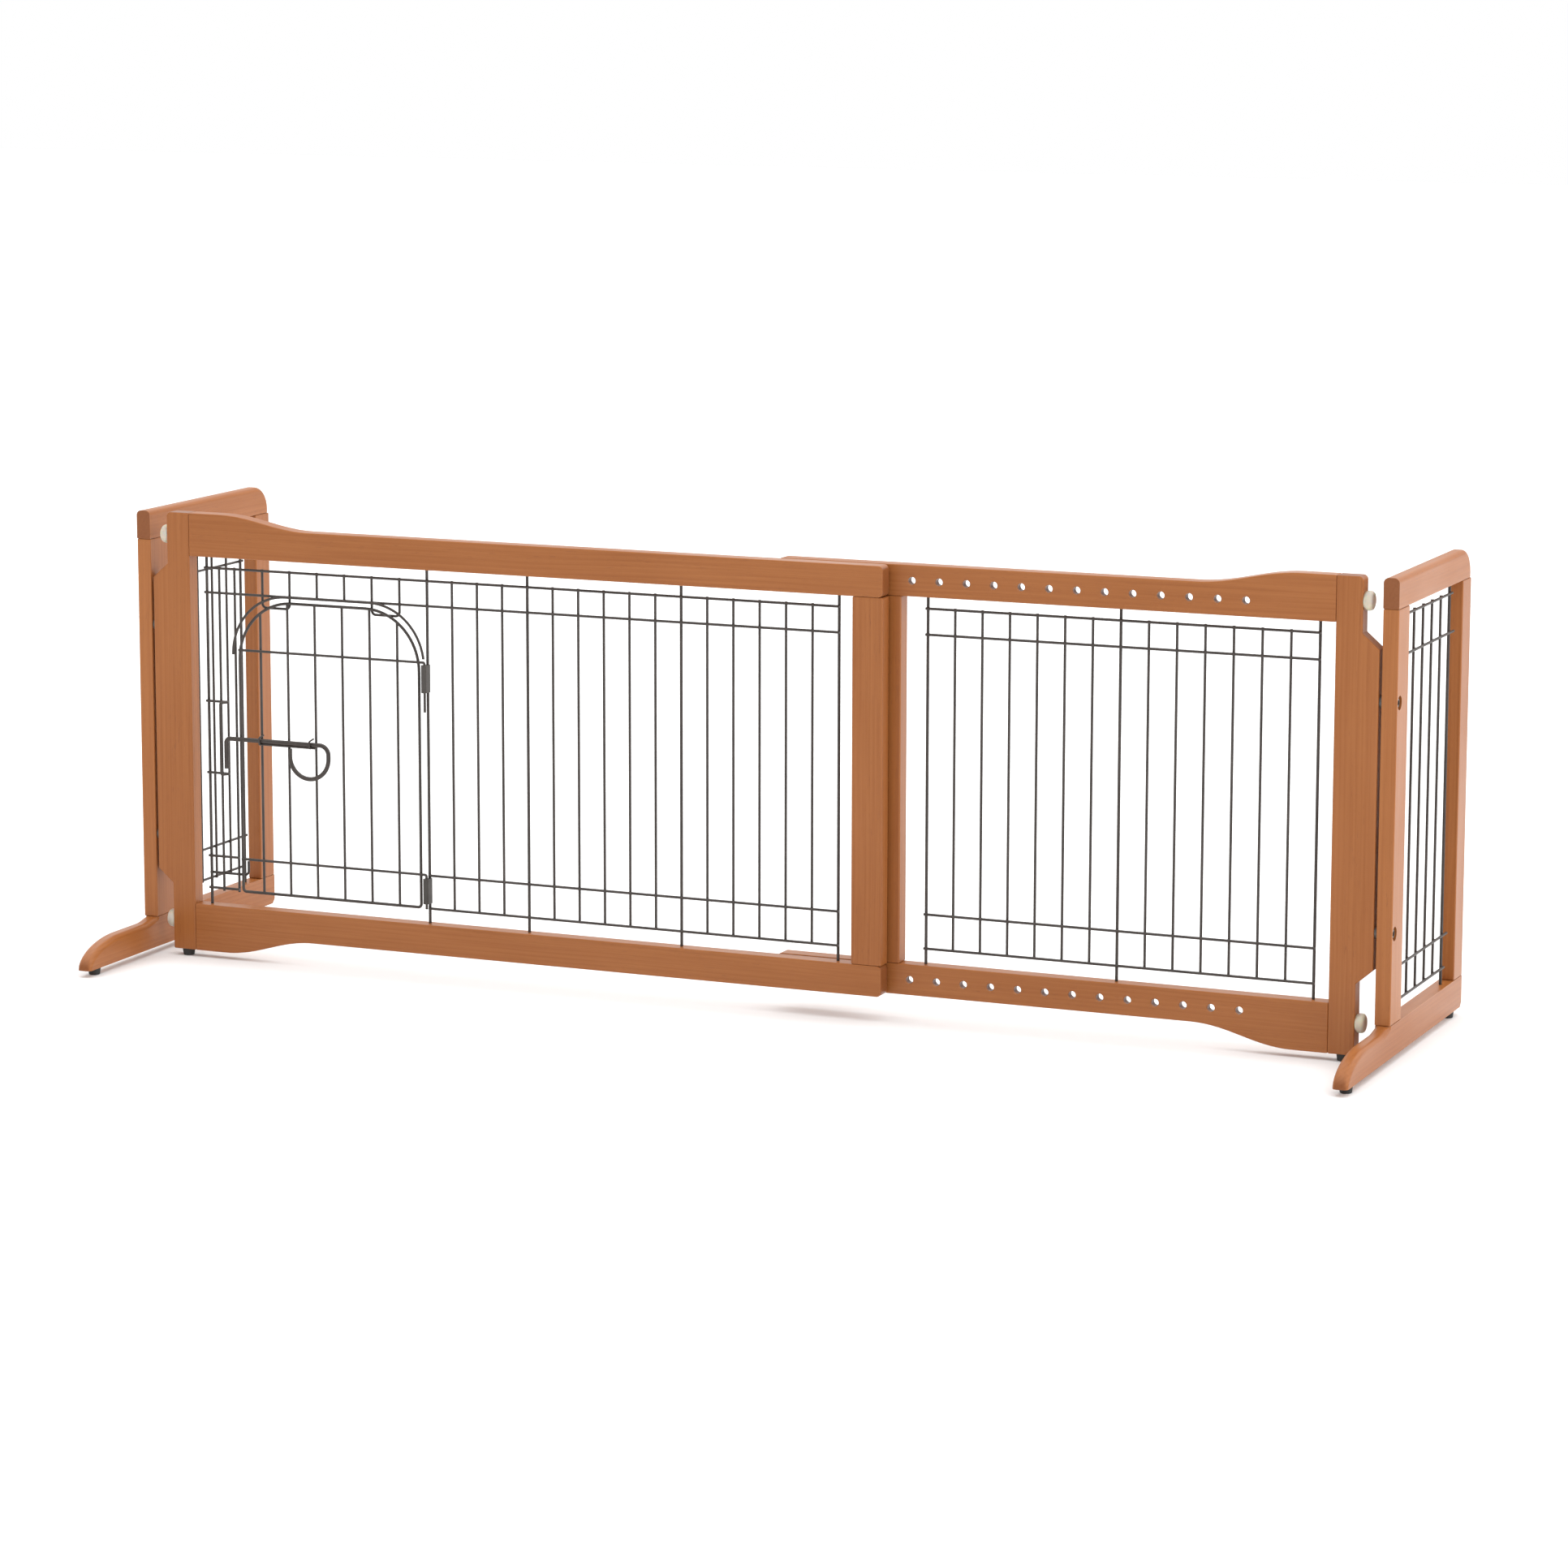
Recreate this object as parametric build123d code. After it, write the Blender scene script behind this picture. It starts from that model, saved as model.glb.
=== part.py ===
from build123d import *
import math
import os

# Free-standing wooden gate with wire grilles, a sliding width and a small wire pet door.
# Millimetres. Origin on the floor under the middle of the gate, +X along the gate,
# -Y towards its front, +Z up.

# ---- Overall size ----
GATE_LENGTH = 1472.0
GATE_HEIGHT = 511.0
STAGGER = 23.0            # the right section stands this far behind the left one
NOSE = 150.0              # reach of the foot rail in front of the wing's front post
WING_DEPTH = 275.0        # front post's face to back post's face
GATE_DEPTH = NOSE + WING_DEPTH + STAGGER
LEFT_FRONT = -GATE_DEPTH / 2 + NOSE
RIGHT_FRONT = LEFT_FRONT + STAGGER

# ---- Timber sections ----
PANEL_T = 19.0            # thickness of posts and rails in both panels
WING_T = 17.0             # thickness of the wings
WING_GAP = 3.0            # spacer between a wing and its outer post
RAIL_H = 34.0
OUTER_POST_W = 47.0
NOTCH_W = 18.5
NOTCH_SLANT = 16.0
NOTCH_TOP_Z = 452.0
NOTCH_BOTTOM_Z = 84.0
INNER_POST_W = 35.0
FOOT_H = 8.0              # wood stands this far above the floor
TOP_RAIL_Z = 462.0        # underside of the top rails
BOTTOM_RAIL_Z = 28.0      # underside of the straight part of the bottom rails
WAVE_START = 38.0         # distance from the seam where the rail's edge starts to fall
WAVE_END = 152.0
EASE = 1.4                # rounding of ordinary edges
SEAM_X = GATE_LENGTH / 2 - WING_T - WING_GAP - OUTER_POST_W
LEFT_RAIL_END = 176.0     # free end of the left panel's rails
RIGHT_RAIL_END = 43.0     # free end of the right panel's rails
LEFT_END_R = 5.5
RIGHT_END_R = 8.0
POST_TOP_R = 5.0

# ---- Row of peg holes ----
HOLE_D = 8.2
RIM_CHAMFER = 0.8         # at the front of each hole in the right panel
COUNTERBORE_D = 20.0      # behind each hole in the right panel
COUNTERBORE_DEPTH = 9.0
HOLE_PITCH = 31.0
HOLE_COUNT = 17
FIRST_HOLE_X = 76.0       # in the right panel's rails
LAST_SOCKET_X = 138.0     # in the back of the left panel's rails
SOCKET_DEPTH = 13.0
PEG_D = 8.06
PEG_TIP_BACK = 1.0        # tip of a drawn peg behind the right panel's front
PEG_TRAVEL = 15.5
PEG_SEAT_GAP = 0.3
PEG_HEAD_D = 19.0
PEG_HEAD_T = 11.0
PEG_HEAD_R = 2.2
PEG_HOLES = (0, 1)
TOP_HOLE_Z = TOP_RAIL_Z + RAIL_H / 2
BOTTOM_HOLE_Z = BOTTOM_RAIL_Z + RAIL_H / 2

# ---- Wing ----
WING_SEAM_Z = 478.5       # underside of the wing's top rail
WING_FOOT_TOP_Z = 42.4
FRONT_POST_D = 40.0
BACK_POST_D = 32.0
WING_CORNER_R = 28.0
DOME_R = 5.5              # rounding along the top of the wing and its foot
FOOT_STEP = 3.9           # how far the foot's top drops in front of the post
FOOT_STEP_LENGTH = 26.0
FOOT_STEP_SLOPE = 0.12
NOSE_LENGTH = 75.0        # the elliptical end of the foot
HEEL_CHAMFER = 5.0
BOLT_Z = (139.0, 381.0)
BOLT_FROM_FACE = PANEL_T / 2

# ---- Wire grilles ----
WIRE_D = 2.9
ROD_D = 3.3               # rods that run into the rails, frame and arch
ROD_DEPTH = 12.0          # how far a rod goes into a rail
ROD_FIT = 0.05
ROW_OVERRUN = 0.6         # how far a row runs past its last upright, in wire diameters
WELD = 0.3                # depth to which crossing wires are fused
GRILLE_BACK = 10.5        # centre of the upright wires behind the panel's front
CROSS_BACK = GRILLE_BACK - WIRE_D + WELD
PANEL_ROWS = (79.3, 116.8, 421.0, 449.0)
WING_ROWS = (61.5, 97.5, 426.0, 468.0)
SHORT_ROWS = (81.3, 118.2)   # the two low rows left of the doorway
LEFT_ROD_X = (-652.2, -372.9, 122.0)
LEFT_COUNT = 16           # spaces between the hinge rod and the last rod
LEFT_PITCH = (LEFT_ROD_X[2] - LEFT_ROD_X[1]) / LEFT_COUNT
RIGHT_FIRST_X = 215.0
RIGHT_PITCH = 31.05
RIGHT_COUNT = 15
LEFT_LONG_WIRES = (4, 10)  # wires that run into the rails, counted from the hinge rod
RIGHT_LONG_WIRES = (0, RIGHT_COUNT // 2, RIGHT_COUNT - 1)
WING_FIRST_Y = 52.5
WING_PITCH = 33.4
WING_COUNT = 6

# ---- Doorway and pet door ----
STRIP_WIRE_X = -636.3
JAMB_X = -616.6
ARCH_R = 68.0
ARCH_BACK = CROSS_BACK - WIRE_D + WELD
ARCH_SPAN_X = (-616.8, -375.1)
ARCH_TAIL = 0.5           # straight part below the curve
ARCH_RIGHT_END_Z = 361.5  # the arch stops above the door's upper crossbar
STOP_FIRST_X = -580.9
STOP_PITCH = 34.7
STOP_DROP = 13.9
STOP_HOOK_X = -605.6
STOP_HOOK_RISE = 16.0
STOP_R = 5.0
STOP_HOOK_Z = 98.0
DOOR_LEFT = -609.2
DOOR_RIGHT = -382.0
DOOR_BOTTOM = 80.0
DOOR_TOP = 414.0
DOOR_ARCH_R = 67.0
DOOR_CORNER_R = 4.0
DOOR_BACK = 6.95           # centre of the door's frame behind the panel's front
DOOR_CROSS_BACK = DOOR_BACK - WIRE_D + WELD
DOOR_PITCH = 34.65
DOOR_UPRIGHTS = 6
DOOR_ROWS = (118.0, 358.0)
HINGE_X = -373.9
HINGE_Y = LEFT_FRONT + DOOR_CROSS_BACK
PIN_END_Z = (79.0, 302.0)
PIN_BEND_R = 2.0
PIN_FIT = 0.08
SLEEVE_SPANS = ((85.0, 113.5), (324.0, 355.0))
SLEEVE_T = 1.1
SLEEVE_TUBE_D = 6.6       # the strip's wider turn round the pin
SLEEVE_TUBE_SHIFT = 0.6

# ---- Latch ----
BOLT_D = 5.0
BOLT_BACK = 2.5           # axis of the latch bolt behind the panel's front
BOLT_AXIS_Z = 256.0
BOLT_TIP_X = -626.0
TIP_DROP = 34.5
TIP_BEND_R = 5.0
RING_X = -519.6           # centre of the pull ring
RING_R = 24.5
RING_CENTRE_Z = 241.1
RING_BEND_R = 11.0
RING_END_Z = 249.8
GUIDE_X = (-581.3, -517.3)
GUIDE_Z = 252.0
GUIDE_PAST_HOOKS = (2.0, 5.6)
HOOK_D = 2.0
HOOK_LEAN = 2.5           # sideways and upward run of each hook's tip
HOOK_BEND_R = 2.4
HOOK_CLEARANCE = 0.6
KEEPER_X = -630.7
KEEPER_BACK = -1.8
KEEPER_ARM_X = -624.0
KEEPER_ARM_BACK = GRILLE_BACK - ROD_D / 2 - WIRE_D / 2 + WELD
KEEPER_Z = (214.5, 296.8)
KEEPER_BEND_R = 1.9

# ---- Fittings ----
DOWEL_D = 6.0
DOWEL_FIT = 0.05
DOWEL_REACH = 18.0
TOP_DOWELS_UP = (18.0, 38.0)      # above the top rail's underside, clear of the rods
BOTTOM_DOWELS_UP = (12.0, 36.0)   # above the outer post's foot
SCREW_D = 6.0
SCREW_HEAD_D = 10.0
SCREW_HEAD_T = 5.0
SCREW_SOCKET = 5.0
SCREW_LENGTH = 38.0
SCREW_HEAD_CHAMFER = 0.6
SCREW_FIT = 0.1
SPACER_FIT = 0.4
PRESS_FIT = 0.1
RECESS_D = 15.0
RECESS_DEPTH = 6.5
INSERT_D = 9.0
INSERT_LENGTH = 15.0
SPACER_D = 14.0
BUMPER_D = 21.0
BUMPER_OUT = 9.3
BUMPER_RIM_R = 3.2
BUMPER_ROOT_R = 1.8
BUMPER_Z = (41.5, 485.0)
STEM_D = 6.0
STEM_IN = 6.0
PAD_D = 14.5
PAD_TAPER = 1.0
POST_PAD_FROM_SEAM = 14.5
WING_PAD_Y = (-126.0, 250.0)


def save(shape, node):
    export_step(shape, f"parts/{node}.step")


def cylinder_x(x, y, z, diameter, length):
    """A round bar from x along +X."""
    plane = Plane(origin=(x, y, z), z_dir=(1, 0, 0))
    return extrude(plane * Circle(diameter / 2), amount=length)


def cylinder_y(x, y, z, diameter, length):
    plane = Plane(origin=(x, y, z), z_dir=(0, 1, 0))
    return extrude(plane * Circle(diameter / 2), amount=length)


def cylinder_z(x, y, z, diameter, length):
    plane = Plane(origin=(x, y, z), z_dir=(0, 0, 1))
    return extrude(plane * Circle(diameter / 2), amount=length)


def rod(start, end, diameter):
    """A straight round wire between two points."""
    run = Vector(*end) - Vector(*start)
    plane = Plane(origin=start, z_dir=run)
    return extrude(plane * Circle(diameter / 2), amount=run.length)


def bent_rod(path, diameter):
    """A round wire along a path."""
    section = Plane(origin=path @ 0, z_dir=path % 0) * Circle(diameter / 2)
    return sweep(section, path=path)


def panel_board(face, front):
    """Extrude an outline drawn in X and Z back from a panel's front face."""
    plane = Plane.XZ.offset(-(front + PANEL_T))
    return extrude(plane * face, amount=PANEL_T)


def wing_board(face, x_low):
    """Extrude an outline drawn in Y and Z through a wing's thickness."""
    return extrude(Plane.YZ.offset(x_low) * face, amount=WING_T)


def eased(board, radius=EASE):
    return fillet(board.edges(), radius)


# ---- Panel timbers: drawn for the right-hand side, mirrored for the left ----

def outer_post(side, front):
    """Post beside the wing, cut back at both ends where the bumpers sit."""
    seam = SEAM_X
    wide = seam + OUTER_POST_W
    narrow = wide - NOTCH_W
    points = [
        (seam, FOOT_H),
        (narrow, FOOT_H),
        (narrow, NOTCH_BOTTOM_Z),
        (wide, NOTCH_BOTTOM_Z + NOTCH_SLANT),
        (wide, NOTCH_TOP_Z - NOTCH_SLANT),
        (narrow, NOTCH_TOP_Z),
        (narrow, GATE_HEIGHT),
        (seam, GATE_HEIGHT),
    ]
    face = make_face(Polyline(*points, close=True))
    corners = face.vertices().filter_by(lambda v: v.Y > GATE_HEIGHT - 1 and v.X > seam + 1)
    face = fillet(corners, POST_TOP_R)
    board = eased(panel_board(face, front))
    middle = front + PANEL_T / 2
    for z in dowel_heights():
        board -= cylinder_x(seam - 1, middle, z, DOWEL_D + 2 * DOWEL_FIT, DOWEL_REACH + 1)
    for z in BUMPER_Z:
        board -= cylinder_x(narrow - STEM_IN, middle, z, STEM_D, STEM_IN + 1)
    for z in BOLT_Z:
        board -= cylinder_x(wide - INSERT_LENGTH, middle, z, INSERT_D, INSERT_LENGTH + 1)
        depth = SCREW_LENGTH - WING_T - WING_GAP + RECESS_DEPTH
        board -= cylinder_x(wide - depth, middle, z, SCREW_D + SPACER_FIT, depth)
    board -= cylinder_z(seam + POST_PAD_FROM_SEAM, middle, FOOT_H - 1, STEM_D, STEM_IN + 1)
    return placed(board, side)


def placed(shape, side):
    """Keep a right-hand shape, or mirror it to the left-hand side."""
    if side > 0:
        return shape
    return mirror(shape, about=Plane.YZ)


def dowel_heights():
    top = [TOP_RAIL_Z + up for up in TOP_DOWELS_UP]
    bottom = [FOOT_H + up for up in BOTTOM_DOWELS_UP]
    return top + bottom


def wave(start, end):
    """The S-curve that joins a rail's straight edge to its raised end."""
    return Spline(start, end, tangents=[(1, 0), (1, 0)])


def top_rail_outline(rail_end, end_radius):
    top = TOP_RAIL_Z + RAIL_H
    low_at = SEAM_X - WAVE_END
    high_at = SEAM_X - WAVE_START
    edges = [
        Line((rail_end, TOP_RAIL_Z), (SEAM_X, TOP_RAIL_Z)),
        Line((SEAM_X, TOP_RAIL_Z), (SEAM_X, GATE_HEIGHT)),
        Line((SEAM_X, GATE_HEIGHT), (high_at, GATE_HEIGHT)),
        wave((low_at, top), (high_at, GATE_HEIGHT)),
        Line((low_at, top), (rail_end, top)),
        Line((rail_end, top), (rail_end, TOP_RAIL_Z)),
    ]
    face = make_face(edges)
    ends = face.vertices().filter_by(lambda v: v.X < rail_end + 1)
    return fillet(ends, end_radius)


def bottom_rail_outline(rail_end, end_radius):
    top = BOTTOM_RAIL_Z + RAIL_H
    high_at = SEAM_X - WAVE_END
    low_at = SEAM_X - WAVE_START
    edges = [
        Line((rail_end, top), (SEAM_X, top)),
        Line((SEAM_X, top), (SEAM_X, FOOT_H)),
        Line((SEAM_X, FOOT_H), (low_at, FOOT_H)),
        wave((high_at, BOTTOM_RAIL_Z), (low_at, FOOT_H)),
        Line((high_at, BOTTOM_RAIL_Z), (rail_end, BOTTOM_RAIL_Z)),
        Line((rail_end, BOTTOM_RAIL_Z), (rail_end, top)),
    ]
    face = make_face(edges)
    ends = face.vertices().filter_by(lambda v: v.X < rail_end + 1)
    return fillet(ends, end_radius)


def rail(side, front, level, rail_end, end_radius, inner_dowels, rods):
    """One rail of a panel, bored for its dowels, pegs and grille rods."""
    outline = top_rail_outline if level == "top" else bottom_rail_outline
    board = eased(panel_board(outline(rail_end, end_radius), front))
    middle = front + PANEL_T / 2
    bore = DOWEL_D + 2 * DOWEL_FIT
    heights = dowel_heights()[:2] if level == "top" else dowel_heights()[2:]
    for z in heights:
        board -= cylinder_x(SEAM_X - DOWEL_REACH, middle, z, bore, DOWEL_REACH + 1)
    inner = TOP_RAIL_Z if level == "top" else BOTTOM_RAIL_Z + RAIL_H
    dowel_z = inner - 1 if level == "top" else inner - DOWEL_REACH
    rod_z = inner - 1 if level == "top" else inner - ROD_DEPTH
    for x in inner_dowels:
        board -= cylinder_z(x, middle, dowel_z, bore, DOWEL_REACH + 1)
    for x in rods:
        board -= cylinder_z(x, front + GRILLE_BACK, rod_z, ROD_D + 2 * ROD_FIT, ROD_DEPTH + 1)
    return placed(board, side)


def drilled(board, positions, z, start, depth):
    """Cut a row of holes along Y."""
    for x in positions:
        board -= cylinder_y(x, start, z, HOLE_D, depth)
    return board


def peg_holes(board, positions, z):
    """Chamfered holes through the right panel, wider behind for the pegs' heads."""
    board = drilled(board, positions, z, RIGHT_FRONT - 1, PANEL_T + 2)
    floor = RIGHT_FRONT + PANEL_T - COUNTERBORE_DEPTH
    for x in positions:
        mouth = Plane(origin=(x, RIGHT_FRONT - RIM_CHAMFER, z), z_dir=(0, 1, 0))
        rim = mouth * Circle(HOLE_D / 2 + 2 * RIM_CHAMFER)
        board -= extrude(rim, amount=2 * RIM_CHAMFER, taper=45)
        board -= cylinder_y(x, floor, z, COUNTERBORE_D, COUNTERBORE_DEPTH + 1)
    return board


def hole_row(first):
    return [first + HOLE_PITCH * i for i in range(HOLE_COUNT)]


def inner_post(right_edge, front, dowels):
    """Upright between the rails at a panel's free end."""
    low = BOTTOM_RAIL_Z + RAIL_H
    left_edge = right_edge - INNER_POST_W
    plane = Plane.XZ.offset(-(front + PANEL_T))
    height = TOP_RAIL_Z - low
    face = Pos(left_edge + INNER_POST_W / 2, low + height / 2) * Rectangle(INNER_POST_W, height)
    board = eased(extrude(plane * face, amount=PANEL_T))
    bore = DOWEL_D + 2 * DOWEL_FIT
    for x in dowels:
        middle = front + PANEL_T / 2
        board -= cylinder_z(x, middle, low - 1, bore, DOWEL_REACH + 1)
        board -= cylinder_z(x, middle, TOP_RAIL_Z - DOWEL_REACH, bore, DOWEL_REACH + 1)
    return board


def panel_dowels(side, front, inner_dowels):
    """Dowels from the outer post into the rails, and from the rails into the inner post."""
    middle = front + PANEL_T / 2
    pins = []
    for z in dowel_heights():
        pin = cylinder_x(SEAM_X - DOWEL_REACH + 1, middle, z, DOWEL_D, 2 * DOWEL_REACH - 2)
        pins.append(placed(pin, side))
    for x in inner_dowels:
        for z in (TOP_RAIL_Z, BOTTOM_RAIL_Z + RAIL_H):
            pins.append(cylinder_z(x, middle, z - DOWEL_REACH + 1, DOWEL_D, 2 * DOWEL_REACH - 2))
    return Compound(children=pins)


# ---- Grilles ----

def fused(pieces):
    first = pieces[0]
    return first.fuse(*pieces[1:])


def upright(x, y, low, high, diameter=WIRE_D):
    return cylinder_z(x, y, low, diameter, high - low)


def rod_low():
    return BOTTOM_RAIL_Z + RAIL_H - ROD_DEPTH + 0.5


def rod_high():
    return TOP_RAIL_Z + ROD_DEPTH - 0.5


def plain_low():
    return PANEL_ROWS[0] - WIRE_D / 2


def plain_high():
    return PANEL_ROWS[3] + WIRE_D / 2


def left_grille():
    """Uprights and low rows of the left panel, from the hinge rod on."""
    y = LEFT_FRONT + GRILLE_BACK
    y_cross = LEFT_FRONT + CROSS_BACK
    door_rod, last_rod = LEFT_ROD_X[1:]
    wires = [upright(x, y, rod_low(), rod_high(), ROD_D) for x in (door_rod, last_rod)]
    for i in range(1, LEFT_COUNT):
        x = door_rod + LEFT_PITCH * i
        if i in LEFT_LONG_WIRES:
            wires.append(upright(x, y, rod_low(), rod_high(), ROD_D))
        else:
            wires.append(upright(x, y, plain_low(), plain_high()))
    over = WIRE_D * ROW_OVERRUN
    for z in PANEL_ROWS[:2]:
        wires.append(rod((door_rod, y_cross, z), (last_rod + over, y_cross, z), WIRE_D))
    return fused(wires)


def left_top_rows():
    """The two high rows of the left panel, with the stops that hang over the doorway."""
    y_cross = LEFT_FRONT + CROSS_BACK
    over = WIRE_D * ROW_OVERRUN
    start, end = LEFT_ROD_X[0] - over, LEFT_ROD_X[2] + over
    wires = [rod((start, y_cross, z), (end, y_cross, z), WIRE_D) for z in PANEL_ROWS[2:]]
    wires += doorway_stops(LEFT_FRONT + GRILLE_BACK)
    return fused(wires)


def doorway_side_grille():
    """Rod, two wires, two short rows and the stop hook on the latch side of the doorway."""
    y = LEFT_FRONT + GRILLE_BACK
    y_cross = LEFT_FRONT + CROSS_BACK
    first_rod = LEFT_ROD_X[0]
    over = WIRE_D * ROW_OVERRUN
    wires = [upright(first_rod, y, rod_low(), rod_high(), ROD_D)]
    for x in (STRIP_WIRE_X, JAMB_X):
        wires.append(upright(x, y, plain_low(), plain_high()))
    for z in SHORT_ROWS:
        wires.append(rod((first_rod - over, y_cross, z), (JAMB_X + over, y_cross, z), WIRE_D))
    wires.append(stop_hook(y + WIRE_D - WELD))
    return fused(wires)


def doorway_arch():
    """Arched wire round the top of the doorway, welded along the front of a row."""
    y = LEFT_FRONT + ARCH_BACK
    left, right = ARCH_SPAN_X
    top = PANEL_ROWS[2]
    low = top - ARCH_R - ARCH_TAIL
    points = [(left, y, low), (left, y, top), (right, y, top), (right, y, low)]
    arch = bent_rod(FilletPolyline(*points, radius=ARCH_R), WIRE_D)
    cut_h = ARCH_RIGHT_END_Z - low + 1
    side = 4 * WIRE_D
    return arch - Pos(right, y, ARCH_RIGHT_END_Z - cut_h / 2) * Box(side, side, cut_h)


def doorway_stops(y):
    """Loops and short wires behind the door's arch."""
    stops = [STOP_FIRST_X + STOP_PITCH * i for i in range(DOOR_UPRIGHTS)]
    wires = [stop_loop(stops[0], stops[1], y), stop_loop(stops[4], stops[5], y)]
    for x in stops[2:4]:
        wires.append(upright(x, y, PANEL_ROWS[2] - WIRE_D / 2, plain_high()))
    return wires


def stop_hook(y):
    """Bent wire that stops the door's lower corner."""
    path = FilletPolyline(
        (LEFT_ROD_X[0] - WIRE_D, y, STOP_HOOK_Z),
        (STOP_HOOK_X, y, STOP_HOOK_Z),
        (STOP_HOOK_X, y, STOP_HOOK_Z + STOP_HOOK_RISE),
        radius=STOP_R,
    )
    return bent_rod(path, WIRE_D)


def stop_loop(x_left, x_right, y):
    low = PANEL_ROWS[2] - STOP_DROP
    path = FilletPolyline(
        (x_left, y, plain_high()),
        (x_left, y, low),
        (x_right, y, low),
        (x_right, y, plain_high()),
        radius=STOP_R,
    )
    return bent_rod(path, WIRE_D)


def right_grille():
    y = RIGHT_FRONT + GRILLE_BACK
    y_cross = RIGHT_FRONT + CROSS_BACK
    last_x = RIGHT_FIRST_X + RIGHT_PITCH * (RIGHT_COUNT - 1)
    wires = []
    for i in range(RIGHT_COUNT):
        x = RIGHT_FIRST_X + RIGHT_PITCH * i
        if i in RIGHT_LONG_WIRES:
            wires.append(upright(x, y, rod_low(), rod_high(), ROD_D))
        else:
            wires.append(upright(x, y, plain_low(), plain_high()))
    over = WIRE_D * ROW_OVERRUN
    for z in PANEL_ROWS:
        wires.append(rod((RIGHT_FIRST_X - over, y_cross, z), (last_x + over, y_cross, z), WIRE_D))
    return fused(wires)


# ---- Wings ----

def wing_low_x(side):
    """Lower X of a wing's thickness."""
    outer = side * GATE_LENGTH / 2
    return outer if side < 0 else outer - WING_T


def wing_rod_y():
    return (WING_FIRST_Y, WING_FIRST_Y + WING_PITCH * (WING_COUNT - 1))


def wing_dowel_y():
    back = WING_DEPTH - BACK_POST_D
    return (12.0, FRONT_POST_D - 12.0, back + 9.0, WING_DEPTH - 9.0)


def wing_top_rail(side, front):
    x = wing_low_x(side)
    face = Pos(front + WING_DEPTH / 2, (WING_SEAM_Z + GATE_HEIGHT) / 2) * Rectangle(
        WING_DEPTH, GATE_HEIGHT - WING_SEAM_Z
    )
    back_top = face.vertices().sort_by(lambda v: v.X + v.Y)[-1]
    face = fillet(back_top, WING_CORNER_R)
    board = wing_board(face, x)
    board = domed(board, WING_SEAM_Z + 1)
    middle = x + WING_T / 2
    for y in wing_dowel_y():
        bore = DOWEL_D + 2 * DOWEL_FIT
        board -= cylinder_z(middle, front + y, WING_SEAM_Z - 1, bore, DOWEL_REACH + 1)
    for y in wing_rod_y():
        bore = ROD_D + 2 * ROD_FIT
        board -= cylinder_z(middle, front + y, WING_SEAM_Z - 1, bore, ROD_DEPTH + 1)
    return board


def domed(board, above):
    """Round the long top edges well and ease the rest."""
    upper = board.edges().filter_by(lambda e: e.bounding_box().max.Z > above)
    upper = upper.filter_by(lambda e: not is_level_across(e))
    upper = upper.filter_by(lambda e: e.bounding_box().min.Z > above or e.bounding_box().size.Y > 1)
    board = fillet(upper, DOME_R)
    rest = board.edges().filter_by(lambda e: e.bounding_box().max.Z < above)
    return fillet(rest, EASE)


def is_level_across(edge):
    """True for an edge that crosses the wing's thickness."""
    size = edge.bounding_box().size
    return size.X > WING_T / 2


def wing_foot_rail(side, front):
    """Rail under the wing whose front reaches out as a rounded foot."""
    x = wing_low_x(side)
    step_z = WING_FOOT_TOP_Z - FOOT_STEP
    nose_start = front - NOSE + NOSE_LENGTH
    nose = EllipticalCenterArc(
        (nose_start, FOOT_H), NOSE_LENGTH, step_z - FOOT_H, start_angle=90, arc_size=90
    )
    back = front + WING_DEPTH
    edges = [
        Line((front, WING_FOOT_TOP_Z), (back, WING_FOOT_TOP_Z)),
        Line((back, WING_FOOT_TOP_Z), (back, FOOT_H + HEEL_CHAMFER)),
        Line((back, FOOT_H + HEEL_CHAMFER), (back - HEEL_CHAMFER, FOOT_H)),
        Line((back - HEEL_CHAMFER, FOOT_H), (front - NOSE, FOOT_H)),
        nose,
        Line((nose_start, step_z), (front - FOOT_STEP_LENGTH, step_z)),
        Spline(
            (front - FOOT_STEP_LENGTH, step_z),
            (front, WING_FOOT_TOP_Z),
            tangents=[(1, 0), (1, FOOT_STEP_SLOPE)],
        ),
    ]
    board = wing_board(make_face(edges), x)
    crown = board.edges().filter_by(lambda e: not is_level_across(e))
    crown = crown.filter_by(lambda e: e.bounding_box().max.Y < front + 1)
    crown = crown.filter_by(lambda e: e.bounding_box().max.Z > FOOT_H + 1)
    board = fillet(crown, DOME_R)
    middle = x + WING_T / 2
    for y in wing_dowel_y():
        bore = DOWEL_D + 2 * DOWEL_FIT
        board -= cylinder_z(middle, front + y, WING_FOOT_TOP_Z - DOWEL_REACH, bore, DOWEL_REACH + 1)
    for y in wing_rod_y():
        bore = ROD_D + 2 * ROD_FIT
        board -= cylinder_z(middle, front + y, WING_FOOT_TOP_Z - ROD_DEPTH, bore, ROD_DEPTH + 1)
    for y in WING_PAD_Y:
        board -= cylinder_z(middle, front + y, FOOT_H - 1, STEM_D, STEM_IN + 1)
    return board


def wing_post(side, front, y_low, depth):
    """Upright of a wing; the front one is bored for the two screws."""
    x = wing_low_x(side)
    height = WING_SEAM_Z - WING_FOOT_TOP_Z
    face = Pos(front + y_low + depth / 2, WING_FOOT_TOP_Z + height / 2) * Rectangle(depth, height)
    board = eased(wing_board(face, x))
    middle = x + WING_T / 2
    bore = DOWEL_D + 2 * DOWEL_FIT
    for y in wing_dowel_y():
        if y_low < y < y_low + depth:
            board -= cylinder_z(middle, front + y, WING_FOOT_TOP_Z - 1, bore, DOWEL_REACH + 1)
            board -= cylinder_z(middle, front + y, WING_SEAM_Z - DOWEL_REACH, bore, DOWEL_REACH + 1)
    if y_low == 0:
        for z in BOLT_Z:
            board -= screw_bore(side, front, z)
    return board


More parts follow.
